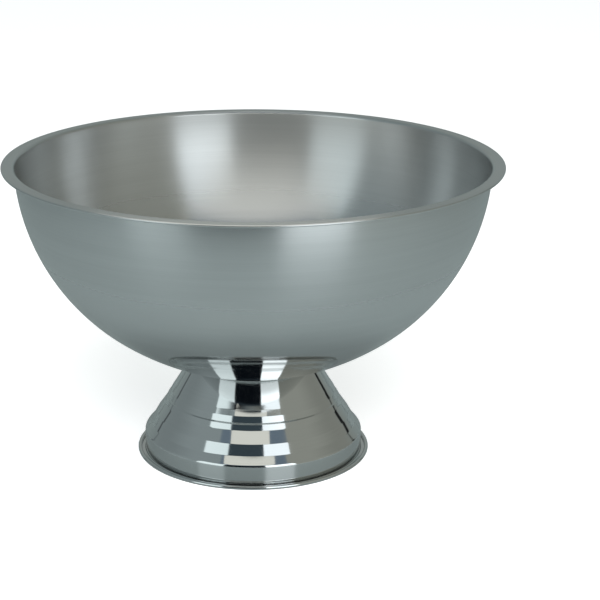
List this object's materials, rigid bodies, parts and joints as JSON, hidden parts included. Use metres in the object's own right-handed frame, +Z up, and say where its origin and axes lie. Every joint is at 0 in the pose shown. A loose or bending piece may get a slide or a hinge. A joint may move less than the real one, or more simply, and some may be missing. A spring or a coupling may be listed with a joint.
{
  "type": "punch bowl",
  "caption": "Round brushed-steel serving bowl with a rolled-out lip, clamped to a mirror-polished conical spun foot with a curled hem.",
  "frame": {"origin": "on the bowl's axis, in the plane that the foot stands on", "axes": "+Z up along the axis of revolution; X and Y are level and interchangeable"},
  "size_m": [0.3799, 0.38, 0.2326],
  "materials": {
    "bowl_steel": "satin, brushed round the axis inside and out",
    "foot_steel": "mirror-polished stainless steel",
    "stud_steel": "plain stainless, as turned",
    "plate_steel": "mill-finish pressed sheet",
    "fastener_steel": "bright zinc-like plain finish"
  },
  "bodies": {
    "root": {"bowl": "bowl_steel", "foot": "foot_steel", "weld_stud": "stud_steel", "load_plate": "plate_steel", "flat_washer": "fastener_steel", "lock_washer": "fastener_steel", "hex_nut": "fastener_steel"}
  },
  "joints": []
}
